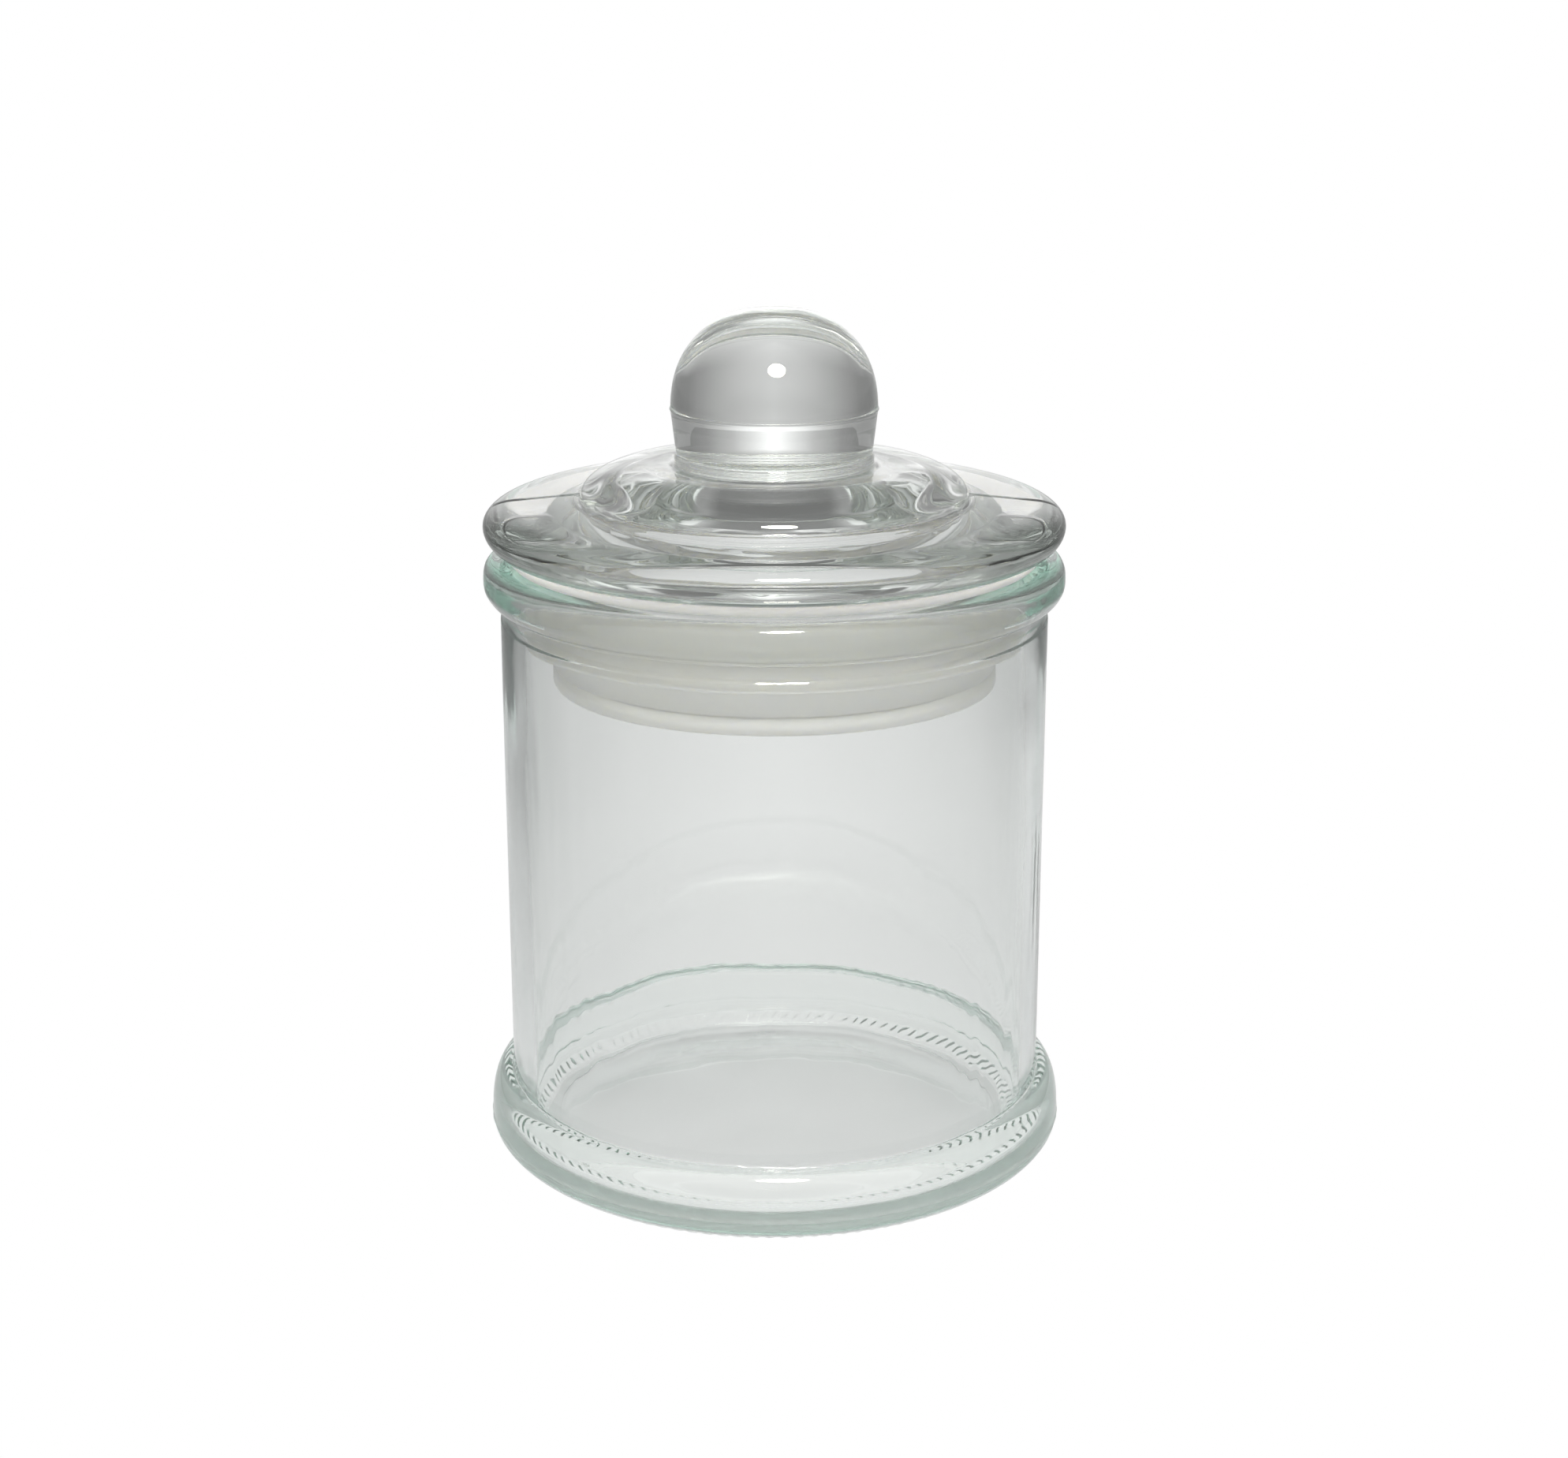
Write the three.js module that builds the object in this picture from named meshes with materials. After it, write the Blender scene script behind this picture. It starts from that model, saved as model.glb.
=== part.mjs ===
// A pressed-glass specimen jar with a ball-knob lid and a soft plastic seal collar.
// Millimetres, +Z up. The origin is the centre of the ring that the jar stands on.
import * as THREE from 'three';
import { mergeVertices } from 'three/addons/utils/BufferGeometryUtils.js';

const SEGMENTS = 48;
const ARC_STEP = 18;
const MERGE_WITHIN = 1e-5;
const GAP = 0.3;

// Arc directions in degrees, measured from straight out along the radius.
const DOWN = -90;
const OUT = 0;
const UP = 90;

// Jar body
const WALL_R = 38.85;
const WALL_THICK = 2.7;
const BORE_R = WALL_R - WALL_THICK;
const FOOT_R = 42.2;
const FOOT_WIDEST_Z = 4.6;
const FOOT_TOP_Z = 11.4;
const BEARING_INNER_R = 32.5;
const BEARING_OUTER_R = 34;
const PUSH_UP = 1;
const PUSH_UP_SLOPE = 4;
const FLOOR_Z = 3.2;
const FLOOR_CORNER_WIDTH = 4.3;
const FLOOR_CORNER_HEIGHT = 2.9;
const NECK_RING_Z = 80;
const NECK_RING_STEP = 0.25;
const BEAD_R = 41.17;
const BEAD_Z = 85.2;
const BEAD_HALF_WIDTH = 3.6;
const BEAD_HALF_HEIGHT = 3.1;
const BEAD_LEAVES_NECK = -72;
const RIM_ROUND = 0.8;
const RIM_Z = BEAD_Z + BEAD_HALF_HEIGHT;

// Seal collar
const LIP_THICK = 0.8;
const LIP_R = 37.6;
const SLEEVE_THICK = 1.15;
const SLEEVE_R = 32;
const SLEEVE_BOTTOM_Z = 70.9;
const TOE_THICK = 2;
const TOE_R = 28.9;
const FIN_CLEARANCE = 0.35;
const FIN_R = BORE_R - FIN_CLEARANCE;
const FIN_COUNT = 3;
const FIN_FIRST_Z = 77.6;
const FIN_PITCH = 4.3;
const FIN_ROOT = 1.3;
const FIN_TIP = 0.6;
const FIN_RISE = 0.4;

// Lid
const LID_R = 41;
const LID_UNDER_Z = RIM_Z + LIP_THICK + 2 * GAP;
const LID_RIM_Z = 93.1;
const LID_RIM_WIDTH = 4.2;
const LID_RIM_RISE = 2.75;
const PLUG_R = SLEEVE_R - SLEEVE_THICK - GAP;
const PLUG_BORE_R = 26.6;
const PLUG_BOTTOM_Z = SLEEVE_BOTTOM_Z + TOE_THICK + GAP;
const PLUG_ROUND = 1.6;
const CEILING_EDGE_Z = 91;
const CEILING_STEP_R = 22.1;
const CEILING_STEP_Z = 92.95;
const CEILING_R = 20.7;
const CEILING_Z = 94.8;
const DOME_R = 27.4;
const DOME_Z = 96.8;
const DOME_FLAT_R = 18.3;
const DOME_TOP_Z = 101.2;
const NECK_R = 13.85;
const NECK_RING_R = 14.05;
const NECK_RING_TOP_Z = 102.6;
const KNOB_R = 14.5;
const KNOB_Z = 109.1;
const KNOB_RISE = 14;

const JAR_TINT = 0xcfe3d8;
const SEAL_COLOR = 0xd8d9cf;
const LID_TINT = 0xdfe8e2;

// An outline point: distance from the axis, then height.
function at(r, z) {
  return new THREE.Vector2(r, z);
}

// Points along part of an ellipse, both ends included.
function arc(centreR, centreZ, halfWidth, halfHeight, from, to) {
  const steps = Math.ceil(Math.abs(to - from) / ARC_STEP);
  const points = [];
  for (let i = 0; i <= steps; i += 1) {
    const angle = THREE.MathUtils.degToRad(from + ((to - from) * i) / steps);
    points.push(at(centreR + halfWidth * Math.cos(angle), centreZ + halfHeight * Math.sin(angle)));
  }
  return points;
}

// Drops every point that repeats the one before it.
function withoutRepeats(points) {
  return points.filter((point, i) => i === 0 || point.distanceTo(points[i - 1]) > MERGE_WITHIN);
}

// Turns an outline about +Z. It runs anticlockwise in (r, z), so the faces point outward.
function turned(name, outline, material) {
  const geometry = new THREE.LatheGeometry(withoutRepeats(outline), SEGMENTS);
  geometry.rotateX(Math.PI / 2);
  geometry.deleteAttribute('normal');
  geometry.deleteAttribute('uv');
  const mesh = new THREE.Mesh(mergeVertices(geometry, MERGE_WITHIN), material);
  mesh.name = name;
  return mesh;
}

// Foot, straight wall, neck ring and rolled bead, all one piece of glass, with a rounded floor corner inside.
function jarBody(material) {
  const heelWidth = FOOT_R - BEARING_OUTER_R;
  const footHeight = FOOT_TOP_Z - FOOT_WIDEST_Z;
  const cornerR = BORE_R - FLOOR_CORNER_WIDTH;
  const cornerZ = FLOOR_Z + FLOOR_CORNER_HEIGHT;
  const beadCentreR = BEAD_R - BEAD_HALF_WIDTH;
  const outline = [
    at(0, PUSH_UP),
    at(BEARING_INNER_R - PUSH_UP_SLOPE, PUSH_UP),
    at(BEARING_INNER_R, 0),
    ...arc(BEARING_OUTER_R, FOOT_WIDEST_Z, heelWidth, FOOT_WIDEST_Z, DOWN, OUT),
    ...arc(WALL_R, FOOT_WIDEST_Z, FOOT_R - WALL_R, footHeight, OUT, UP),
    at(WALL_R, NECK_RING_Z - NECK_RING_STEP),
    at(WALL_R - NECK_RING_STEP, NECK_RING_Z),
    ...arc(beadCentreR, BEAD_Z, BEAD_HALF_WIDTH, BEAD_HALF_HEIGHT, BEAD_LEAVES_NECK, UP),
    at(BORE_R + RIM_ROUND, RIM_Z),
    at(BORE_R, RIM_Z - RIM_ROUND),
    ...arc(cornerR, cornerZ, FLOOR_CORNER_WIDTH, FLOOR_CORNER_HEIGHT, OUT, DOWN),
    at(0, FLOOR_Z),
  ];
  return turned('jar_body', outline, material);
}

// One fin of the collar: a thin blade that tips upward and thins towards the bore.
function fin(z) {
  return [
    at(SLEEVE_R, z - FIN_ROOT / 2),
    at(FIN_R, z + FIN_RISE - FIN_TIP / 2),
    at(FIN_R, z + FIN_RISE + FIN_TIP / 2),
    at(SLEEVE_R, z + FIN_ROOT / 2),
  ];
}

// A sleeve around the plug, with a toe hooked under it, fins against the bore and a lip on the rim.
function sealCollar(material) {
  const lipBottomZ = RIM_Z + GAP;
  const boreR = SLEEVE_R - SLEEVE_THICK;
  const outline = [at(TOE_R, SLEEVE_BOTTOM_Z), at(SLEEVE_R, SLEEVE_BOTTOM_Z)];
  for (let i = 0; i < FIN_COUNT; i += 1) {
    outline.push(...fin(FIN_FIRST_Z + i * FIN_PITCH));
  }
  outline.push(
    at(SLEEVE_R, lipBottomZ),
    at(LIP_R, lipBottomZ),
    at(LIP_R, lipBottomZ + LIP_THICK),
    at(boreR, lipBottomZ + LIP_THICK),
    at(boreR, SLEEVE_BOTTOM_Z + TOE_THICK),
    at(TOE_R, SLEEVE_BOTTOM_Z + TOE_THICK),
    at(TOE_R, SLEEVE_BOTTOM_Z),
  );
  return turned('seal_collar', outline, material);
}

// Hollow plug, flange, dome, neck and solid ball knob, all one piece of glass.
function lid(material) {
  const rimR = LID_R - LID_RIM_WIDTH;
  const underRise = LID_RIM_Z - LID_UNDER_Z;
  const boreRoundR = PLUG_BORE_R - PLUG_ROUND;
  const plugRoundR = PLUG_R - PLUG_ROUND;
  const plugRoundZ = PLUG_BOTTOM_Z + PLUG_ROUND;
  const outline = [
    at(0, CEILING_Z),
    at(CEILING_R, CEILING_Z),
    at(CEILING_STEP_R, CEILING_STEP_Z),
    ...arc(boreRoundR, CEILING_EDGE_Z - PLUG_ROUND, PLUG_ROUND, PLUG_ROUND, UP, OUT),
    at(PLUG_BORE_R, plugRoundZ),
    at(PLUG_BORE_R + PLUG_ROUND, PLUG_BOTTOM_Z),
    ...arc(plugRoundR, plugRoundZ, PLUG_ROUND, PLUG_ROUND, DOWN, OUT),
    at(PLUG_R, LID_UNDER_Z),
    ...arc(rimR, LID_RIM_Z, LID_RIM_WIDTH, underRise, DOWN, OUT),
    ...arc(rimR, LID_RIM_Z, LID_RIM_WIDTH, LID_RIM_RISE, OUT, UP),
    ...arc(DOME_FLAT_R, DOME_Z, DOME_R - DOME_FLAT_R, DOME_TOP_Z - DOME_Z, OUT, UP),
    at(NECK_RING_R, DOME_TOP_Z),
    at(NECK_RING_R, NECK_RING_TOP_Z),
    at(NECK_R, NECK_RING_TOP_Z),
    ...arc(0, KNOB_Z, KNOB_R, KNOB_RISE, OUT, UP),
  ];
  return turned('lid', outline, material);
}

function glass(color) {
  return new THREE.MeshStandardMaterial({
    color,
    roughness: 0.03,
    metalness: 0,
    transparent: true,
    opacity: 0.35,
  });
}

function softPlastic(color) {
  return new THREE.MeshStandardMaterial({
    color,
    roughness: 0.55,
    metalness: 0,
    transparent: true,
    opacity: 0.75,
  });
}

const jar = new THREE.Group();
jar.add(jarBody(glass(JAR_TINT)));
jar.add(sealCollar(softPlastic(SEAL_COLOR)));
jar.add(lid(glass(LID_TINT)));

export default jar;
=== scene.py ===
"""Looks of the specimen jar, with its studio floor, surround, key light and camera.

The pressed-glass jar, the pressed-glass lid and the soft plastic seal collar are each turned about Z.
Outlines are in millimetres, as (distance from the axis, height). Materials and the stage are in metres.
"""

import math

import bmesh
import bpy
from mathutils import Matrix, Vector, noise


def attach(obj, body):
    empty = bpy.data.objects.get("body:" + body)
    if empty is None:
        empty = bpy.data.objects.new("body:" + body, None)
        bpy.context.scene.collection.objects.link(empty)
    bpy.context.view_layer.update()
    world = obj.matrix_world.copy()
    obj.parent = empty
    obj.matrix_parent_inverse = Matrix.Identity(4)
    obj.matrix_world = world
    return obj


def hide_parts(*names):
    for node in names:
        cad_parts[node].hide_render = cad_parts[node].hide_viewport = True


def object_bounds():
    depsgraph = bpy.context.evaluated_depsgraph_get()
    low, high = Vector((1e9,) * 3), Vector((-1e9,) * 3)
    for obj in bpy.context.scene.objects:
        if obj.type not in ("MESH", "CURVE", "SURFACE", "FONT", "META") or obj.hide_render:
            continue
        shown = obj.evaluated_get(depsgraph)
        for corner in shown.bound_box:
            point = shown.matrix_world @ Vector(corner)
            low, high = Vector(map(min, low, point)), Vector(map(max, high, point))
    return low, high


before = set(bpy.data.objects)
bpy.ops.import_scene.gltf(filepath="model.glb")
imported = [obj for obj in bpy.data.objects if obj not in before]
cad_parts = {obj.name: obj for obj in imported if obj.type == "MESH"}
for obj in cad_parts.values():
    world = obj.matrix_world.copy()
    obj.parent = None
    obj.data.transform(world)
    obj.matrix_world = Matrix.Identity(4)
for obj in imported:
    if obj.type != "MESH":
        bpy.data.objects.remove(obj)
CAD_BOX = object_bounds()

MM = 0.001

# How near the axis a point counts as on it, and how near a surface a point counts as part of it.
ON_AXIS = 1e-6
NEAR = 0.1


# ---------- outlines ----------

def arc(centre, size, start, end, steps, power=1.0):
    """Points on part of an ellipse (power 1) or superellipse, both ends included, angles in degrees."""
    points = []
    for i in range(steps + 1):
        angle = math.radians(start + (end - start) * i / steps)
        c, s = math.cos(angle), math.sin(angle)
        r = centre[0] + size[0] * math.copysign(abs(c) ** power, c)
        z = centre[1] + size[1] * math.copysign(abs(s) ** power, s)
        points.append((r, z))
    return points


def line(start, end, steps):
    """Points from start up to but not including end."""
    return [
        (start[0] + (end[0] - start[0]) * i / steps, start[1] + (end[1] - start[1]) * i / steps)
        for i in range(steps)
    ]


def seam(r, z, proud, half_width):
    """A small ridge that a mould leaves round the glass."""
    return [(r, z - half_width), (r + proud, z), (r, z + half_width)]


def turned(name, outline, segments, shift=None):
    """A closed body turned about Z. The outline starts and ends on the axis, or closes on itself."""
    mesh = bpy.data.meshes.new(name)
    bm = bmesh.new()
    rings = []
    for r, z in outline:
        if r < ON_AXIS:
            rings.append([bm.verts.new((0, 0, z * MM))])
            continue
        ring = []
        for k in range(segments):
            angle = 2 * math.pi * k / segments
            dr, dz = shift(r, z, angle) if shift else (0, 0)
            radius, height = (r + dr) * MM, (z + dz) * MM
            ring.append(bm.verts.new((radius * math.cos(angle), radius * math.sin(angle), height)))
        rings.append(ring)
    pairs = list(zip(rings, rings[1:]))
    if len(rings[0]) > 1:
        pairs.append((rings[-1], rings[0]))
    for low, high in pairs:
        for k in range(segments):
            n = (k + 1) % segments
            if len(low) == 1:
                bm.faces.new((low[0], high[n], high[k]))
            elif len(high) == 1:
                bm.faces.new((low[k], low[n], high[0]))
            else:
                bm.faces.new((low[k], low[n], high[n], high[k]))
    bmesh.ops.recalc_face_normals(bm, faces=bm.faces)
    for face in bm.faces:
        face.smooth = True
    bm.to_mesh(mesh)
    bm.free()
    piece = bpy.data.objects.new(name, mesh)
    bpy.context.scene.collection.objects.link(piece)
    return piece


def ripple(height, length, seed, upright=1.0):
    """Gentle unevenness: smooth noise between about -height and height, with waves of one length.

    Going up, it changes as fast as it does sideways where upright is 1, and not at all where it is 0.
    """
    def at(x, y, z):
        spot = (x / length + seed, y / length - seed, z * upright / length)
        return height * noise.noise(Vector(spot))
    return at


def place(r, z, angle):
    """Turns an outline point by an angle about Z."""
    return r * math.cos(angle), r * math.sin(angle), z


# ---------- jar ----------

JAR_SEGMENTS = 826
WALL_R = 38.85
BORE_R = 36.15
FLOOR_Z = 3.2
CORNER_W = 4.3
CORNER_H = 2.9
CORNER_POWER = 1.1
FLOOR_CREASE = [(0.72, 0.05), (0.6, 0)]
FLOOR_INSET = 0.3

# Foot: a shallow push-up inside a narrow bearing ring, then a rounded heel with a mould seam at its widest,
# and a flare that meets the wall in a wavy crease.
PUSH_UP = 1.0
PUSH_UP_STEPS = 6
PUSH_UP_POWER = 5
BEARING_IN_R = 32.5
BEARING_R = 34.0
FOOT_R = 42.1
FOOT_WIDEST_Z = 4.6
FOOT_TOP_Z = 11.4
FOOT_POWER = 0.75
FOOT_SEAM = 0.1
FOOT_SEAM_HALF = 0.14
FOOT_CREASE = 0.12
FOOT_CREASE_END = 0.4
CREASE_REACH = 0.6

# Knurls: grooves pressed into the underside of the heel, deepest in front and to the right. From its inner
# to its outer end each one leans by a part of a turn, and their spacing wanders a few times round the jar.
KNURLS = 118
KNURL_IN_R = 37.2
KNURL_OUT_R = 40.2
KNURL_TOP_Z = 2.6
KNURL_DEEP = 0.6
KNURL_LEAN = 0.55
KNURL_WANDER = 0.9
KNURL_WANDERS = 5
KNURL_SHARP = 1.5
KNURL_BLUNT = 0.7
KNURL_MEAN = 0.75
KNURL_FRONT = 0.6
KNURL_RIGHT = 0.3

# Neck ring: the wall's crisp top edge. The shoulder above it stands in, and sweeps out to the bead and rim.
NECK_RING_Z = 80.0
NECK_RING_DEEP = 0.2
NECK_RING_EDGE = 0.3
NECK_RING_SOFT_R, NECK_RING_SOFT_Z = 0.02, 0.12
SHOULDER_R = 38.62
SHOULDER_GAP = 0.15
SHOULDER_TOP_Z = 82.05
SHOULDER_SWEEP = (0.5, 0.45)
BEAD_R, BEAD_Z, BEAD_W, BEAD_H = 41.15, 85.2, 3.6, 3.1
BEAD_TOP_POWER = 0.6
RIM_Z = BEAD_Z + BEAD_H
RIM_ROUND = 0.8
RIM_CORNER = 1.2

# The bore is uneven up to the collar and true above that. The wall is a little thicker at the upper left.
BORE_TRUE_Z = 74
BORE_FADE = 8
THICKER = 0.28
THICKER_FROM_Z = 30
THICKER_OVER = 30

# How uneven the glass is.
KNURL_UNEVEN = ripple(0.5, 6, 2.5, upright=0)
CREASE_UNEVEN = (ripple(0.22, 5.0, 3.8, upright=0), ripple(0.12, 1.8, 9.2, upright=0))
BORE_UNEVEN = (
    ripple(0.14, 13, 3.1, upright=0.4),
    ripple(0.05, 5.5, 7.7, upright=0.6),
    ripple(0.018, 1.7, 4.9, upright=0.35),
)
FLOOR_UNEVEN = (ripple(0.10, 11, 5.2),)
WALL_UNEVEN = (ripple(0.05, 11, 1.3, upright=0.4),)
BEAD_UNEVEN = (ripple(0.05, 6, 1.9), ripple(0.03, 2.0, 6.6, upright=0.4))
SEAM_UNEVEN = (ripple(0.06, 2.2, 8.1),)


def total(ripples, spot):
    """All the ripples of a surface added up at a place."""
    return sum(each(*spot) for each in ripples)


def knurl(r, angle, spot):
    """How far the underside of the heel is pressed up at a place. The front is at minus a quarter turn."""
    across = (r - KNURL_IN_R) / (KNURL_OUT_R - KNURL_IN_R)
    turn = KNURLS * angle + 2 * math.pi * KNURL_LEAN * across + KNURL_WANDER * math.sin(KNURL_WANDERS * angle)
    groove = (0.5 + 0.5 * math.cos(turn)) ** KNURL_SHARP
    depth = KNURL_DEEP * math.sin(math.pi * across) ** KNURL_BLUNT * groove
    depth *= KNURL_MEAN + KNURL_UNEVEN(*spot)
    return depth * (1 - KNURL_FRONT * math.sin(angle) + KNURL_RIGHT * math.cos(angle))


def bore_shift(z, angle, spot):
    """How far out the inner wall lies from its outline. At the left, half a turn round, it lies in."""
    fade = min(1, (BORE_TRUE_Z - z) / BORE_FADE)
    leftward = 0.5 - 0.5 * math.cos(angle)
    upward = min(1.0, max(0.0, (z - THICKER_FROM_Z) / THICKER_OVER))
    return fade * (total(BORE_UNEVEN, spot) - THICKER * leftward * upward)


def jar_shift(r, z, angle):
    """How far the glass lies off its outline, outward and upward."""
    spot = place(r, z, angle)
    if z < KNURL_TOP_Z and KNURL_IN_R < r < KNURL_OUT_R:
        return 0, knurl(r, angle, spot)
    if abs(z - FOOT_WIDEST_Z) < FOOT_SEAM_HALF and r > FOOT_R:
        return total(SEAM_UNEVEN, spot), 0
    if FOOT_TOP_Z - CREASE_REACH < z <= FOOT_TOP_Z + FOOT_CREASE and abs(r - WALL_R) < CREASE_REACH:
        return 0, total(CREASE_UNEVEN, spot)
    if r < BORE_R - CORNER_W + NEAR and z > FLOOR_Z - NEAR:
        return 0, total(FLOOR_UNEVEN, spot)
    if r < BORE_R + NEAR and FLOOR_Z - NEAR < z < BORE_TRUE_Z:
        return bore_shift(z, angle, spot), 0
    if r > WALL_R - NEAR and FOOT_TOP_Z + FOOT_CREASE_END < z < NECK_RING_Z - NECK_RING_EDGE:
        return total(WALL_UNEVEN, spot), 0
    if r > WALL_R and z > SHOULDER_TOP_Z:
        return total(BEAD_UNEVEN, spot), 0
    return 0, 0


def foot_outline():
    """From the middle of the underside to the crease where the foot meets the wall."""
    points = []
    for i in range(PUSH_UP_STEPS):
        t = i / PUSH_UP_STEPS
        points.append((BEARING_IN_R * t, PUSH_UP * (1 - t ** PUSH_UP_POWER)))
    points.append((BEARING_IN_R, 0))
    heel = (BEARING_R, FOOT_WIDEST_Z), (FOOT_R - BEARING_R, FOOT_WIDEST_Z)
    points += arc(*heel, -90, -70, steps=4)
    points += arc(*heel, -67.5, -42, steps=10)
    points += arc(*heel, -36, -6, steps=6)
    points += seam(FOOT_R, FOOT_WIDEST_Z, FOOT_SEAM, FOOT_SEAM_HALF)
    flare = (WALL_R, FOOT_WIDEST_Z), (FOOT_R - WALL_R, FOOT_TOP_Z - FOOT_WIDEST_Z)
    points += arc(*flare, 4, 88, steps=12, power=FOOT_POWER)
    points.append((WALL_R, FOOT_TOP_Z + FOOT_CREASE))
    return points


def wall_outline():
    """The straight wall up to the neck ring, the shoulder and the bead, up to the rim."""
    wall_top = (WALL_R, NECK_RING_Z - NECK_RING_EDGE)
    points = line((WALL_R, FOOT_TOP_Z + FOOT_CREASE_END), wall_top, steps=7)
    points.append(wall_top)
    points.append((WALL_R - NECK_RING_SOFT_R, NECK_RING_Z - NECK_RING_SOFT_Z))
    points.append((WALL_R - NECK_RING_DEEP, NECK_RING_Z))
    points += line((SHOULDER_R, NECK_RING_Z + SHOULDER_GAP), (SHOULDER_R, SHOULDER_TOP_Z), steps=2)
    sweep_w, sweep_h = SHOULDER_SWEEP
    points += arc((SHOULDER_R + sweep_w, SHOULDER_TOP_Z), (-sweep_w, sweep_h), 0, 60, steps=2)
    bead = (BEAD_R - BEAD_W, BEAD_Z), (BEAD_W, BEAD_H)
    points += arc(*bead, -62, 0, steps=9)
    points += arc(*bead, 4, 90, steps=12, power=BEAD_TOP_POWER)
    points.append((BORE_R + RIM_ROUND, RIM_Z))
    return points


def bore_outline():
    """The rounded rim, the bore, and the floor with its rounded corner and a crease beside it."""
    floor_r = BORE_R - CORNER_W
    points = arc((BORE_R + RIM_ROUND, RIM_Z - RIM_ROUND), (-RIM_ROUND, RIM_ROUND), 80, 0, steps=4)
    points += line((BORE_R, RIM_Z - RIM_CORNER), (BORE_R, FLOOR_Z + CORNER_H), steps=14)
    corner = (floor_r, FLOOR_Z + CORNER_H), (CORNER_W, CORNER_H)
    points += arc(*corner, 0, -76, steps=10, power=CORNER_POWER)
    points += [(floor_r + out, FLOOR_Z + up) for out, up in FLOOR_CREASE]
    points += line((floor_r - FLOOR_INSET, FLOOR_Z), (0, FLOOR_Z), steps=7)
    points.append((0, FLOOR_Z))
    return points


def jar_outline():
    return foot_outline() + wall_outline() + bore_outline()


# ---------- collar ----------

SEAL_SEGMENTS = 256
SLEEVE_R = 32.0
SLEEVE_IN_R = 30.65
SLEEVE_ROUND = 0.4
SEAL_BOTTOM_Z = 70.9
SEAL_EDGE = 0.3
TOE_IN_R = 28.9
TOE_TOP_Z = SEAL_BOTTOM_Z + 2.0

# The groove round the sleeve above its toe, as (how deep, height).
GROOVE_DEEP = 0.9
GROOVE = [(0, 72.75), (GROOVE_DEEP, 73.0), (GROOVE_DEEP, 73.3), (0, 73.6)]

# Fins: thin blades that tip upward. Their sides are points at heights from the fin's own.
FIN_ZS = [77.6, 81.9, 86.2]
FIN_R = 35.85
FIN_RISE = 0.4
FIN_TIP = (0.3, 0.25)
FIN_FILLET_R = SLEEVE_R + 0.15
FIN_UNDERSIDE = [(SLEEVE_R, -1.0), (FIN_FILLET_R, -0.7), (FIN_R - 0.4, 0.15)]
FIN_UPPER_SIDE = [(FIN_R - 0.5, 0.66), (FIN_FILLET_R, 0.65), (SLEEVE_R, 0.9)]

# The lip that lies between the jar's rim and the lid.
LIP_GAP = 0.08
LIP_Z = RIM_Z + LIP_GAP
LIP_THICK = 1.1
LIP_END_R = 37.2
LIP_ROUND = 0.4


def fin(z):
    """A thin blade that tips upward, with a fillet at its root and a rounded tip."""
    tip_w, tip_h = FIN_TIP
    points = [(r, z + up) for r, up in FIN_UNDERSIDE]
    points += arc((FIN_R - tip_w, z + FIN_RISE), FIN_TIP, -60, 60, steps=4)
    points += [(r, z + up) for r, up in FIN_UPPER_SIDE]
    return points


def seal_outline():
    """From the toe's lower inner edge out and up the sleeve, round the lip and down the inside."""
    points = [(TOE_IN_R, SEAL_BOTTOM_Z + SEAL_EDGE)]
    points += line((TOE_IN_R + SEAL_EDGE, SEAL_BOTTOM_Z), (SLEEVE_R - SLEEVE_ROUND, SEAL_BOTTOM_Z), steps=3)
    corner = (SLEEVE_R - SLEEVE_ROUND, SEAL_BOTTOM_Z + SLEEVE_ROUND), (SLEEVE_ROUND, SLEEVE_ROUND)
    points += arc(*corner, -90, 0, steps=4)
    points += [(SLEEVE_R - deep, z) for deep, z in GROOVE]
    for z in FIN_ZS:
        points += fin(z)
    points += [(SLEEVE_R, LIP_Z - SEAL_EDGE), (SLEEVE_R + SEAL_EDGE, LIP_Z), (LIP_END_R, LIP_Z)]
    points += arc((LIP_END_R, LIP_Z + LIP_THICK / 2), (LIP_ROUND, LIP_THICK / 2), -70, 70, steps=5)
    points += [(LIP_END_R, LIP_Z + LIP_THICK), (SLEEVE_IN_R + SEAL_EDGE, LIP_Z + LIP_THICK)]
    points.append((SLEEVE_IN_R, LIP_Z + LIP_THICK - SEAL_EDGE))
    points += line((SLEEVE_IN_R, LIP_Z), (SLEEVE_IN_R, TOE_TOP_Z), steps=8)
    points += [(SLEEVE_IN_R, TOE_TOP_Z), (TOE_IN_R + SEAL_EDGE, TOE_TOP_Z), (TOE_IN_R, TOE_TOP_Z - SEAL_EDGE)]
    return points


# ---------- lid ----------

LID_SEGMENTS = 512

# Plug: hollow, with a rounded lower edge.
PLUG_R = 30.55
PLUG_IN_R = 26.6
PLUG_BOTTOM_Z = 73.2
PLUG_ROUND = 1.6
PLUG_IN_ROUND = 1.9
PLUG_CORNER = 2.4
PLUG_BORE_GAP = 0.6
PLUG_FILLET = 0.5

# Ceiling of the hollow: flat in the middle, then a step down and a sloping ring. CEILING_RING says how far
# out and down from the ceiling's edge the ring begins.
CEILING_R = 21.0
CEILING_Z = 94.8
CEILING_ROUND = 0.7
CEILING_STEP = 0.9
CEILING_STEP_OUT = 1.0
CEILING_RING = (1.1, 1.85)
CEILING_EDGE_Z = 91.0
CEILING_LOW_Z = 89

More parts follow.
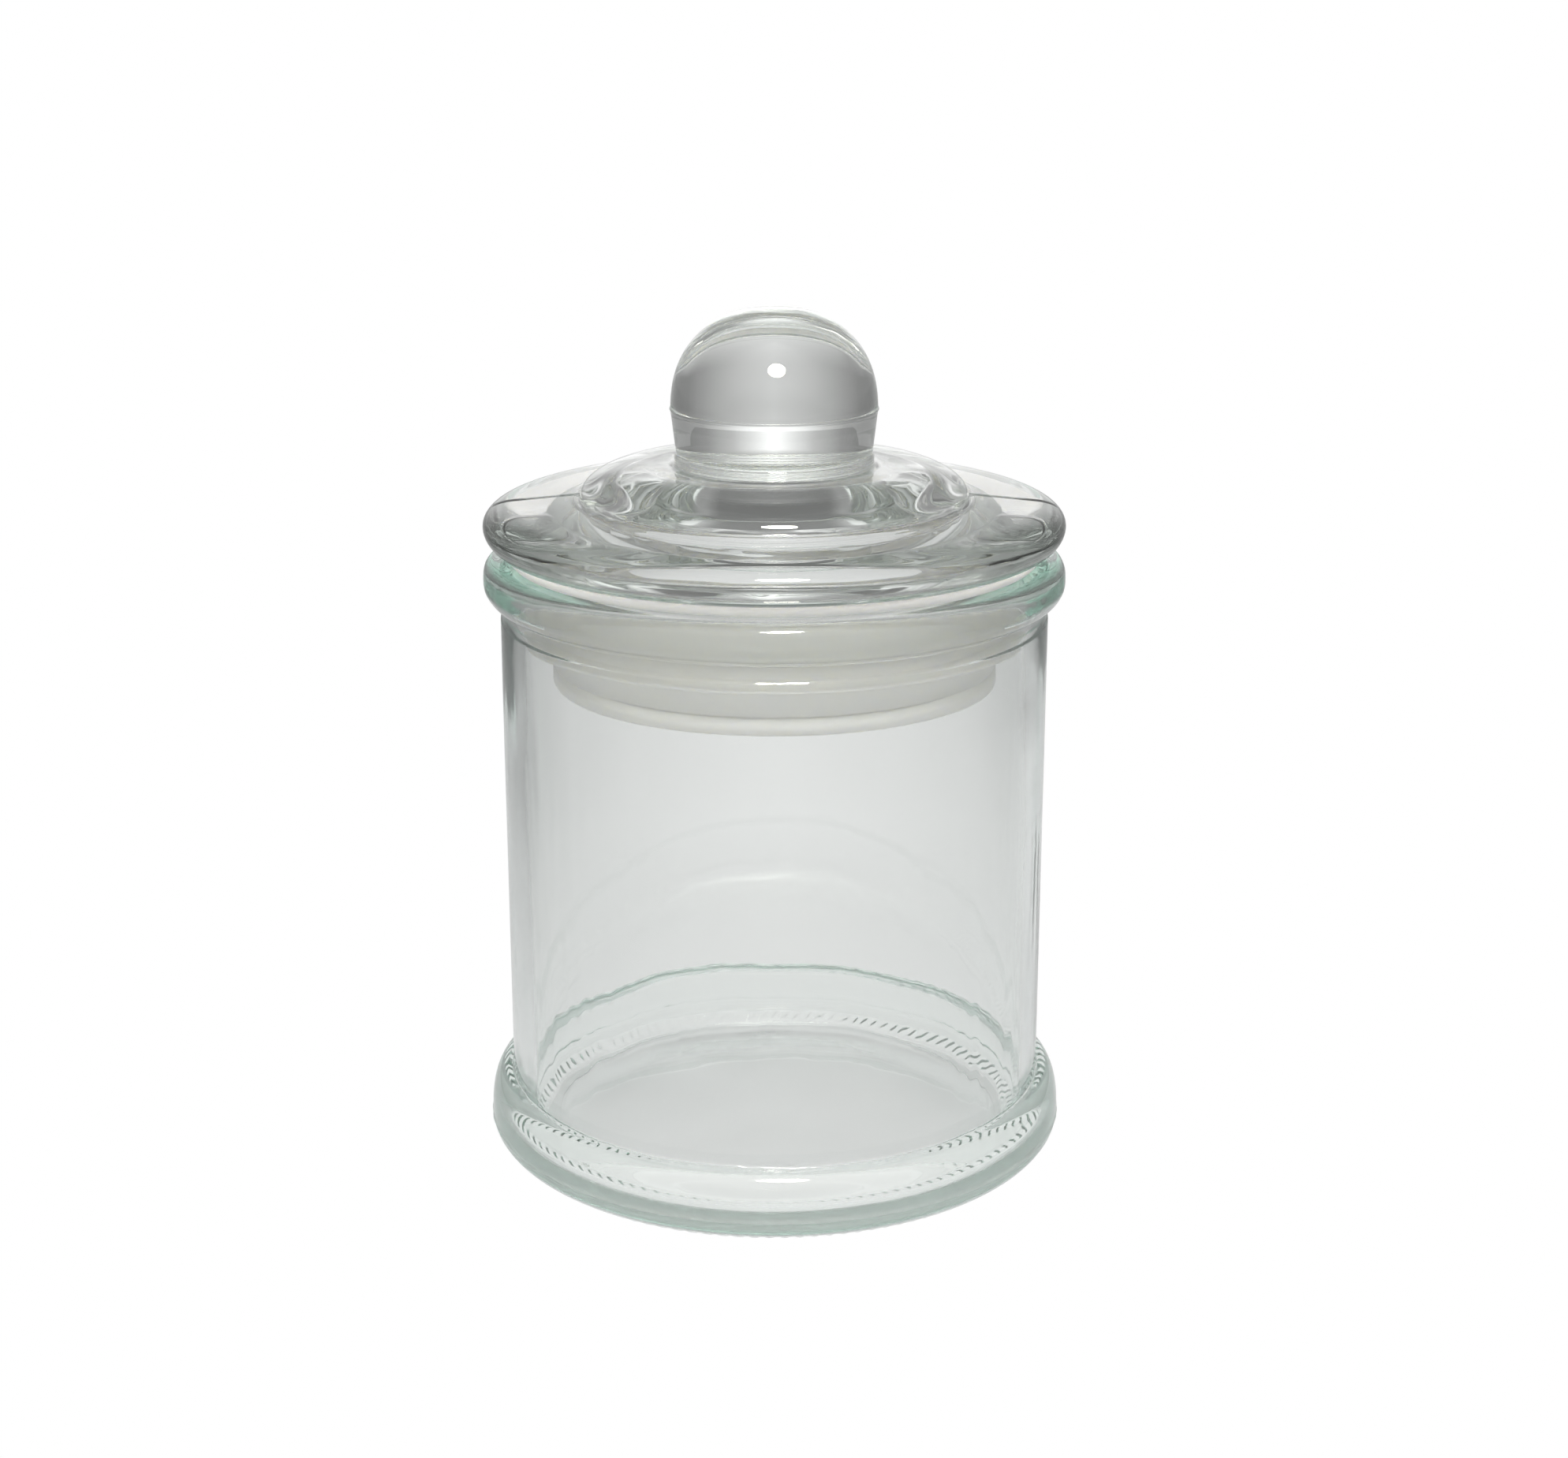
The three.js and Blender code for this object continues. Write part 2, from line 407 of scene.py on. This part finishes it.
# Flange: a broad rim with a mould-seam ridge at its left and its right.
LID_R = 41.0
LID_UNDER_Z = 89.7
LID_RIM_Z = 93.1
LID_RIM_W = 4.2
LID_RIM_RISE = 2.75
FLANGE_TOP_R, FLANGE_TOP_Z = 37.4, 95.87
LID_SEAM = 0.16
LID_SEAM_HALF = 0.45
LID_SEAM_IN_R = 27.0
LID_SEAM_OUT_R = 39.8

# Dome, with a small fillet where it rises from the flange.
DOME_R, DOME_Z = 27.4, 96.8
DOME_FLAT_R, DOME_TOP_Z = 18.3, 101.2
DOME_FILLET_OUT, DOME_FILLET_IN, DOME_FILLET_H = 0.35, 0.1, 0.02
DOME_FLAT_INSET = 0.6

# Neck: a low ring with two fine lines round it. The points of its foot are (out, up) from the dome's top,
# and those of its top from its own.
NECK_R = 13.85
NECK_TOP_Z = 102.6
NECK_FILLET = 0.5
NECK_FOOT = [(0.45, 0.04), (0.22, 0.16), (0.16, 0.4)]
NECK_LINES = 2
NECK_LINE_STEPS = 4
NECK_LINE_OUT, NECK_LINE_DEEP = 0.12, 0.07
NECK_LINES_UP, NECK_LINES_H = 0.5, 0.8
NECK_TOP = [(0.1, -0.05), (-0.05, 0.12)]
NECK_BARE = (-0.05, 0.4)

# Knob: a ball with a mould seam round its widest part.
KNOB_R, KNOB_Z, KNOB_RISE = 14.5, 109.1, 14.0
KNOB_POWER = 0.9
KNOB_SEAM = 0.12
KNOB_SEAM_HALF = 0.2
KNOB_SEAM_R = KNOB_R + 0.02
KNOB_SEAM_GAP = 0.25

# How uneven the glass is. The ceiling is true in the middle, and the plug is uneven down to its lip.
CEILING_UNEVEN = ripple(0.05, 6.5, 2.2)
CEILING_TRUE_R = 6
STEP_UNEVEN_UP = ripple(0.10, 4.5, 6.2)
STEP_UNEVEN_OUT = ripple(0.20, 3.6, 9.4)
PLUG_UNEVEN = ripple(0.12, 9, 4.4)
DOME_UNEVEN = ripple(0.06, 7.5, 6.1)
PLUG_LIP = 0.2


def hollow_shift(r, z, spot):
    """How far the inside of the plug lies off its outline."""
    if z < CEILING_LOW_Z:
        return PLUG_UNEVEN(*spot), 0
    up = CEILING_UNEVEN(*spot) * min(1, r / CEILING_TRUE_R)
    if r < CEILING_R - 2 * CEILING_ROUND:
        return 0, up
    return STEP_UNEVEN_OUT(*spot), up + STEP_UNEVEN_UP(*spot)


def lid_shift(r, z, angle):
    """How far the glass lies off its outline, outward and upward."""
    spot = place(r, z, angle)
    if r < PLUG_IN_R + PLUG_LIP and z < CEILING_Z + NEAR:
        return hollow_shift(r, z, spot)
    if LID_SEAM_IN_R < r < LID_SEAM_OUT_R and LID_RIM_Z < z < DOME_Z + NEAR:
        beside = r * math.acos(abs(math.cos(angle)))
        return 0, LID_SEAM * max(0.0, 1 - beside / LID_SEAM_HALF)
    if r > NECK_R + NECK_FILLET / 2 and DOME_Z < z < NECK_TOP_Z:
        return 0, DOME_UNEVEN(*spot)
    return 0, 0


def plug_outline():
    """From the middle of the ceiling down the hollow, round the plug's edge and up to the flange."""
    flat_r = CEILING_R - CEILING_ROUND
    points = line((0, CEILING_Z), (flat_r, CEILING_Z), steps=14)
    points += arc((flat_r, CEILING_Z - CEILING_ROUND), (CEILING_ROUND, CEILING_ROUND), 90, 20, steps=5)
    step = (CEILING_R + CEILING_STEP_OUT, CEILING_Z - CEILING_STEP), (-CEILING_STEP, CEILING_STEP)
    points += arc(*step, -20, -80, steps=4)
    ring_out, ring_down = CEILING_RING
    bore_top = (PLUG_IN_R - PLUG_ROUND, CEILING_EDGE_Z)
    points += line((CEILING_R + ring_out, CEILING_Z - ring_down), bore_top, steps=8)
    points += arc((bore_top[0], CEILING_EDGE_Z - PLUG_ROUND), (PLUG_ROUND, PLUG_ROUND), 80, 0, steps=6)
    round_z = PLUG_BOTTOM_Z + PLUG_ROUND
    bore_z = CEILING_EDGE_Z - PLUG_ROUND - PLUG_BORE_GAP
    points += line((PLUG_IN_R, bore_z), (PLUG_IN_R, round_z), steps=8)
    points += arc((PLUG_IN_R + PLUG_IN_ROUND, round_z), (-PLUG_IN_ROUND, -PLUG_ROUND), 0, 90, steps=7)
    points += arc((PLUG_R - PLUG_ROUND, round_z), (PLUG_ROUND, PLUG_ROUND), -80, 0, steps=7)
    fillet_z = LID_UNDER_Z - PLUG_FILLET
    points += line((PLUG_R, PLUG_BOTTOM_Z + PLUG_CORNER), (PLUG_R, fillet_z), steps=8)
    points += arc((PLUG_R + PLUG_FILLET, fillet_z), (-PLUG_FILLET, PLUG_FILLET), 0, 90, steps=4)
    return points


def flange_outline():
    """The underside, the rounded rim and the gently sloping top, in to the dome."""
    rim_r = LID_R - LID_RIM_W
    points = line((PLUG_R + 2 * PLUG_FILLET, LID_UNDER_Z), (rim_r, LID_UNDER_Z), steps=4)
    points += arc((rim_r, LID_RIM_Z), (LID_RIM_W, LID_RIM_Z - LID_UNDER_Z), -90, 0, steps=14)
    points += arc((rim_r, LID_RIM_Z), (LID_RIM_W, LID_RIM_RISE), 8, 74, steps=10)
    slope_end = (DOME_R + DOME_FILLET_OUT, DOME_Z - DOME_FILLET_H)
    points += line((FLANGE_TOP_R, FLANGE_TOP_Z), slope_end, steps=8)
    points.append((DOME_R + DOME_FILLET_IN, DOME_Z + DOME_FILLET_H))
    return points


def dome_outline():
    dome = (DOME_FLAT_R, DOME_Z), (DOME_R - DOME_FLAT_R, DOME_TOP_Z - DOME_Z)
    points = arc(*dome, 5, 90, steps=16)
    flat_start = (DOME_FLAT_R - DOME_FLAT_INSET, DOME_TOP_Z)
    points += line(flat_start, (NECK_R + NECK_FILLET, DOME_TOP_Z), steps=4)
    return points


def neck_outline():
    points = [(NECK_R + out, DOME_TOP_Z + up) for out, up in NECK_FOOT]
    steps = NECK_LINES * NECK_LINE_STEPS
    for i in range(steps + 1):
        out = NECK_LINE_OUT + NECK_LINE_DEEP * math.cos(2 * math.pi * i / NECK_LINE_STEPS)
        points.append((NECK_R + out, DOME_TOP_Z + NECK_LINES_UP + NECK_LINES_H * i / steps))
    points += [(NECK_R + out, NECK_TOP_Z + up) for out, up in NECK_TOP]
    return points


def knob_outline():
    """From the neck's top out to the ball's widest part, and over its crown to the axis."""
    out, up = NECK_BARE
    points = line((NECK_R + out, NECK_TOP_Z + up), (KNOB_R, KNOB_Z - KNOB_SEAM_GAP), steps=8)
    points += seam(KNOB_SEAM_R, KNOB_Z, KNOB_SEAM, KNOB_SEAM_HALF)
    points += arc((0, KNOB_Z), (KNOB_R, KNOB_RISE), 3, 90, steps=26, power=KNOB_POWER)
    points[-1] = (0, KNOB_Z + KNOB_RISE)
    return points


def lid_outline():
    return plug_outline() + flange_outline() + dome_outline() + neck_outline() + knob_outline()


# ---------- materials ----------

GLASS_IOR = 1.52
GLASS_GRAIN = 90
GLASS_BUMP = 0.05
GLASS_BUMP_HEIGHT = 0.0004
GLASS_SMEAR = 0.035

# The share of light that goes through each glass. The rest is a thin white haze, lit by the soft fill:
# painted light that brightens places where light stays trapped in the glass.
JAR_CLEAR = 0.972
LID_CLEAR = 0.994

# Tint by absorption, and its density per metre.
JAR_TINT, JAR_DENSITY = (0.32, 0.87, 0.67), 8
LID_TINT, LID_DENSITY = (0.56, 0.66, 0.59), 7

# Wear and painted light: the jar's underside is rubbed, and its heel has more haze, painted light that
# brightens the heel, as (height in metres, how much).
WORN_Z = 0.0016
WORN_R = 0.036
WORN_ROUGH = 0.3
HAZE_R = 0.0403
HAZE_TOP = 0.02
HAZE_BY_HEIGHT = [(0.003, 0.12), (0.0055, 0.035), (0.0105, 0.035), (0.0125, 0)]

SEAL_ROUGH = 0.34
SEAL_IOR = 1.25
SEAL_CLEAR = 0.45
SEAL_SCATTER_RADIUS = (1.0, 0.98, 0.85)
SEAL_SCATTER_SCALE = 0.002
SEAL_CLOUDS = 60
SEAL_DARKER = (0.97, 0.96, 0.89)
SEAL_PALER = (0.99, 0.985, 0.93)


class Graph:
    """Builds chains of nodes in a node tree."""

    def __init__(self, tree):
        self.tree = tree

    def feed(self, socket, value):
        """Sets a socket to a number, or links another socket to it."""
        if isinstance(value, (int, float)):
            socket.default_value = value
        else:
            self.tree.links.new(value, socket)

    def math(self, operation, *values):
        node = self.tree.nodes.new("ShaderNodeMath")
        node.operation = operation
        for socket, value in zip(node.inputs, values):
            self.feed(socket, value)
        return node.outputs[0]

    def ramp(self, value, low, high, stops):
        """Grey ramp: value between low and high looks up (position, level) stops."""
        scaled = self.tree.nodes.new("ShaderNodeMapRange")
        scaled.inputs["From Min"].default_value = low
        scaled.inputs["From Max"].default_value = high
        self.feed(scaled.inputs["Value"], value)
        node = self.tree.nodes.new("ShaderNodeValToRGB")
        elements = node.color_ramp.elements
        while len(elements) < len(stops):
            elements.new(position=0.5)
        for element, (position, level) in zip(elements, stops):
            element.position = (position - low) / (high - low)
            element.color = (level, level, level, 1)
        self.feed(node.inputs["Fac"], scaled.outputs["Result"])
        return node.outputs["Color"]

    def blend(self, factor, a, b):
        node = self.tree.nodes.new("ShaderNodeMix")
        node.data_type = "FLOAT"
        self.feed(node.inputs["Factor"], factor)
        self.feed(node.inputs["A"], a)
        self.feed(node.inputs["B"], b)
        return node.outputs["Result"]

    def split(self, vector):
        node = self.tree.nodes.new("ShaderNodeSeparateXYZ")
        self.feed(node.inputs["Vector"], vector)
        return node.outputs["X"], node.outputs["Y"], node.outputs["Z"]

    def reach(self, x, y):
        """Distance from the Z axis."""
        return self.math("SQRT", self.math("ADD", self.math("MULTIPLY", x, x), self.math("MULTIPLY", y, y)))

    def degrees(self, radians):
        return self.math("MULTIPLY", radians, math.degrees(1))

    def degrees_from_back(self, x, y):
        """0 straight behind the object, 180 at the camera's side."""
        return self.degrees(self.math("ARCTAN2", self.math("ABSOLUTE", x), y))

    def noise(self, vector, scale, detail):
        node = self.tree.nodes.new("ShaderNodeTexNoise")
        node.inputs["Scale"].default_value = scale
        node.inputs["Detail"].default_value = detail
        self.feed(node.inputs["Vector"], vector)
        return node.outputs["Fac"]


def new_material(name):
    material = bpy.data.materials.new(name)
    material.use_nodes = True
    tree = material.node_tree
    return material, tree, tree.nodes["Principled BSDF"], tree.nodes["Material Output"]


def rub_and_paint_haze(graph, coordinates, shader, clear, roughness):
    """Rubs the underside, hazes the heel with painted light and gives the roughness that results."""
    x, y, z = graph.split(coordinates)
    radius = graph.reach(x, y)
    under = graph.math("LESS_THAN", z, WORN_Z)
    inward = graph.math("LESS_THAN", radius, WORN_R)
    rubbed = graph.math("MULTIPLY", graph.math("MULTIPLY", under, inward), WORN_ROUGH)
    on_heel = graph.math("GREATER_THAN", radius, HAZE_R)
    haze = graph.math("MULTIPLY", graph.ramp(z, 0, HAZE_TOP, HAZE_BY_HEIGHT), on_heel)
    # Less light goes straight through the heel: the rest is a white haze lit by the soft fill, painted light
    # that brightens it.
    graph.feed(shader.inputs["Transmission Weight"], graph.math("SUBTRACT", clear, haze))
    return graph.math("ADD", roughness, rubbed)


def glass(name, tint, per_metre, clear, rubbed_with_painted_haze=False):
    """Pressed glass: tinted by depth, slightly rippled, with faint smears and a thin white haze of painted
    light.
    """
    material, tree, shader, output = new_material(name)
    graph = Graph(tree)
    shader.inputs["Base Color"].default_value = (1, 1, 1, 1)
    # Below full clearness the rest is a white haze lit by the soft fill, painted light in the glass.
    shader.inputs["Transmission Weight"].default_value = clear
    shader.inputs["IOR"].default_value = GLASS_IOR
    coordinates = tree.nodes.new("ShaderNodeTexCoord").outputs["Object"]
    grain = graph.noise(coordinates, GLASS_GRAIN, detail=3)
    bump = tree.nodes.new("ShaderNodeBump")
    bump.inputs["Strength"].default_value = GLASS_BUMP
    bump.inputs["Distance"].default_value = GLASS_BUMP_HEIGHT
    graph.feed(bump.inputs["Height"], grain)
    graph.feed(shader.inputs["Normal"], bump.outputs["Normal"])
    smear = tree.nodes.new("ShaderNodeMapRange")
    smear.inputs["To Max"].default_value = GLASS_SMEAR
    graph.feed(smear.inputs["Value"], grain)
    roughness = smear.outputs["Result"]
    if rubbed_with_painted_haze:
        roughness = rub_and_paint_haze(graph, coordinates, shader, clear, roughness)
    graph.feed(shader.inputs["Roughness"], roughness)
    absorb = tree.nodes.new("ShaderNodeVolumeAbsorption")
    absorb.inputs["Color"].default_value = (*tint, 1)
    absorb.inputs["Density"].default_value = per_metre
    graph.feed(output.inputs["Volume"], absorb.outputs["Volume"])
    return material


def seal_plastic(name):
    """Milky soft plastic: light passes through it, spread out and a little warmed."""
    material, tree, shader, _ = new_material(name)
    graph = Graph(tree)
    shader.inputs["Roughness"].default_value = SEAL_ROUGH
    shader.inputs["IOR"].default_value = SEAL_IOR
    shader.inputs["Transmission Weight"].default_value = SEAL_CLEAR
    shader.inputs["Subsurface Weight"].default_value = 1.0
    shader.inputs["Subsurface Radius"].default_value = SEAL_SCATTER_RADIUS
    shader.inputs["Subsurface Scale"].default_value = SEAL_SCATTER_SCALE
    coordinates = tree.nodes.new("ShaderNodeTexCoord").outputs["Object"]
    clouds = graph.noise(coordinates, SEAL_CLOUDS, detail=4)
    ramp = tree.nodes.new("ShaderNodeValToRGB")
    ramp.color_ramp.elements[0].color = (*SEAL_DARKER, 1)
    ramp.color_ramp.elements[1].color = (*SEAL_PALER, 1)
    graph.feed(ramp.inputs["Fac"], clouds)
    graph.feed(shader.inputs["Base Color"], ramp.outputs["Color"])
    return material


# ---------- build ----------

jar_glass = glass("jar_glass", JAR_TINT, JAR_DENSITY, JAR_CLEAR, rubbed_with_painted_haze=True)
lid_glass = glass("lid_glass", LID_TINT, LID_DENSITY, LID_CLEAR)
seal_soft = seal_plastic("seal_plastic")

jar = turned("jar_glass_body", jar_outline(), JAR_SEGMENTS, jar_shift)
jar.data.materials.append(jar_glass)
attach(jar, "jar")
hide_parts("jar_body")

seal = turned("seal_collar_soft", seal_outline(), SEAL_SEGMENTS)
seal.data.materials.append(seal_soft)
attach(seal, "collar")
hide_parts("seal_collar")

lid = turned("lid_glass_body", lid_outline(), LID_SEGMENTS, lid_shift)
lid.data.materials.append(lid_glass)
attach(lid, "lid")
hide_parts("lid")


# ---------- stage ----------

FLOOR_R = 8.0
FLOOR_SIDES = 96
FLOOR_DROP = 0.0002

# The camera sees a white floor and surround. Light scattered by the plastic or the haze sees an even fill.
WHITE = 1.0
SOFT_FILL = 1.10

# Light that has gone through or off the glass sees a grey studio instead, from the tables below.
# Floor: (distance from the axis in metres, brightness).
FLOOR_FAR = 1.5
HALF_TURN = 180
FLOOR_BY_DISTANCE = [
    (0.0, 0.79), (0.03, 0.76), (0.06, 0.73), (0.09, 0.73), (0.12, 0.76), (0.15, 0.80),
    (0.20, 0.79), (0.26, 0.70), (0.35, 0.64), (0.6, 0.62), (1.0, 0.72), (1.5, 1.25),
]

# Floor and sky: (degrees from straight behind the object, brightness).
NEAR_LEFT = [
    (0, 1), (10, 0.92), (20, 0.82), (30, 0.72), (37, 0.54),
    (45, 0.60), (55, 0.50), (70, 0.38), (100, 0.38), (180, 0.6),
]
NEAR_RIGHT = [
    (0, 1), (10, 0.94), (20, 0.86), (30, 0.80), (37, 0.80),
    (45, 0.92), (55, 0.82), (70, 0.50), (100, 0.42), (180, 0.6),
]
FLOOR_BY_TURN = [
    (0, 1), (8, 0.89), (18, 0.72), (31, 0.50), (44, 0.34),
    (60, 0.27), (78, 0.32), (98, 0.55), (180, 0.7),
]
HORIZON_BY_TURN = [
    (0, 1), (8, 0.68), (16, 0.42), (30, 0.22),
    (45, 0.15), (72, 0.17), (98, 0.40), (180, 0.5),
]
LOW_SKY = [
    (0, 1.30), (10, 1.05), (20, 0.64), (32, 0.36),
    (48, 0.30), (78, 0.32), (100, 0.55), (180, 0.6),
]
HIGH_SKY = [
    (0, 0.17), (24, 0.17), (36, 0.32), (60, 0.28),
    (100, 0.50), (130, 1.1), (180, 1.3),
]

# Where one table gives way to the next: the lowest and highest place, and (place, share of the next table).
# The first three go by distance from the axis, TO_RIGHT by x and TO_HIGH_SKY by degrees above the horizon.
TO_TURN = (0, 0.4, [(0.05, 0), (0.20, 1)])
TO_MIDDLE = (0, 0.5, [(0.22, 0), (0.34, 1)])
TO_HORIZON = (0, 2.0, [(0.6, 0), (1.5, 1)])
TO_RIGHT = (-0.1, 0.1, [(-0.03, 0), (0.03, 1)])
TO_HIGH_SKY = (0, 90, [(10, 0), (17, 0.5), (28, 1)])

KEY_AZIMUTH = 4
KEY_ELEVATION = 49
KEY_DISTANCE = 1.0
KEY_SIZE = 0.30
KEY_WATTS = 14
KEY_COLOUR = (1.0, 0.96, 0.87)

SENSOR_MM = 36
LENS_MM = 63.38028
CAMERA_AT = (0.00136, -0.382, 0.1765)
CAMERA_DOWN = 16.65
CLIP = (0.01, 50)

# Light bounces many times inside the glass.
BOUNCES = 32
GLOSSY_BOUNCES = 16


def seen_level(graph, through_glass):
    """White straight from the camera, even after scattering, and through_glass for all other rays."""
    path = graph.tree.nodes.new("ShaderNodeLightPath")
    scattered = graph.math("GREATER_THAN", path.outputs["Diffuse Depth"], 0.5)
    level = graph.blend(scattered, through_glass, SOFT_FILL)
    return graph.blend(path.outputs["Is Camera Ray"], level, WHITE)


def floor_material():
    material, tree, shader, output = new_material("studio_floor")
    tree.nodes.remove(shader)
    graph = Graph(tree)
    x, y, _ = graph.split(tree.nodes.new("ShaderNodeNewGeometry").outputs["Position"])
    distance = graph.reach(x, y)
    turn = graph.degrees_from_back(x, y)
    plain = graph.ramp(distance, 0, FLOOR_FAR, FLOOR_BY_DISTANCE)
    near_left = graph.ramp(turn, 0, HALF_TURN, NEAR_LEFT)
    near_right = graph.ramp(turn, 0, HALF_TURN, NEAR_RIGHT)
    middle = graph.ramp(turn, 0, HALF_TURN, FLOOR_BY_TURN)
    horizon = graph.ramp(turn, 0, HALF_TURN, HORIZON_BY_TURN)
    around = graph.blend(graph.ramp(x, *TO_RIGHT), near_left, near_right)
    around = graph.blend(graph.ramp(distance, *TO_MIDDLE), around, middle)
    around = graph.blend(graph.ramp(distance, *TO_TURN), WHITE, around)
    around = graph.blend(graph.ramp(distance, *TO_HORIZON), around, horizon)
    glow = tree.nodes.new("ShaderNodeEmission")
    graph.feed(glow.inputs["Strength"], seen_level(graph, graph.math("MULTIPLY", plain, around)))
    graph.feed(output.inputs["Surface"], glow.outputs["Emission"])
    return material


def make_floor():
    mesh = bpy.data.meshes.new("studio_floor")
    bm = bmesh.new()
    bmesh.ops.create_circle(bm, cap_ends=True, segments=FLOOR_SIDES, radius=FLOOR_R)
    bm.to_mesh(mesh)
    bm.free()
    floor = bpy.data.objects.new("studio_floor", mesh)
    floor.location.z = -FLOOR_DROP
    mesh.materials.append(floor_material())
    bpy.context.scene.collection.objects.link(floor)


def make_world():
    world = bpy.data.worlds.new("studio")
    bpy.context.scene.world = world
    world.use_nodes = True
    tree = world.node_tree
    graph = Graph(tree)
    x, y, z = graph.split(tree.nodes.new("ShaderNodeTexCoord").outputs["Generated"])
    turn = graph.degrees_from_back(x, y)
    rise = graph.degrees(graph.math("ARCSINE", z))
    low = graph.ramp(turn, 0, HALF_TURN, LOW_SKY)
    high = graph.ramp(turn, 0, HALF_TURN, HIGH_SKY)
    level = graph.blend(graph.ramp(rise, *TO_HIGH_SKY), low, high)
    background = tree.nodes["Background"]
    background.inputs["Color"].default_value = (1, 1, 1, 1)
    graph.feed(background.inputs["Strength"], seen_level(graph, level))


def make_key_light():
    """A soft disc-shaped light aimed at the middle of the object. Azimuth 0 is at the camera's side."""
    data = bpy.data.lights.new("key_light", "AREA")
    data.shape = "DISK"
    data.size = KEY_SIZE
    data.energy = KEY_WATTS
    data.color = KEY_COLOUR
    lamp = bpy.data.objects.new("key_light", data)
    azimuth = math.radians(KEY_AZIMUTH)
    elevation = math.radians(KEY_ELEVATION)
    level = math.cos(elevation)
    away = Vector((math.sin(azimuth) * level, -math.cos(azimuth) * level, math.sin(elevation)))
    centre = (CAD_BOX[0] + CAD_BOX[1]) / 2
    lamp.location = centre + away * KEY_DISTANCE
    lamp.rotation_mode = "QUATERNION"
    lamp.rotation_quaternion = away.to_track_quat("Z", "Y")
    lamp.visible_camera = False
    bpy.context.scene.collection.objects.link(lamp)


def make_camera():
    """Looks down at the jar from the front, a little to the right of its axis."""
    data = bpy.data.cameras.new("camera")
    data.sensor_width = SENSOR_MM
    data.lens = LENS_MM
    data.clip_start, data.clip_end = CLIP
    camera = bpy.data.objects.new("camera", data)
    camera.location = CAMERA_AT
    camera.rotation_euler = (math.radians(90 - CAMERA_DOWN), 0, 0)
    bpy.context.scene.collection.objects.link(camera)
    bpy.context.scene.camera = camera


make_floor()
make_world()
make_key_light()
make_camera()

scene = bpy.context.scene
scene.view_settings.view_transform = "Standard"
scene.cycles.max_bounces = BOUNCES
scene.cycles.transmission_bounces = BOUNCES
scene.cycles.glossy_bounces = GLOSSY_BOUNCES
scene.cycles.transparent_max_bounces = GLOSSY_BOUNCES
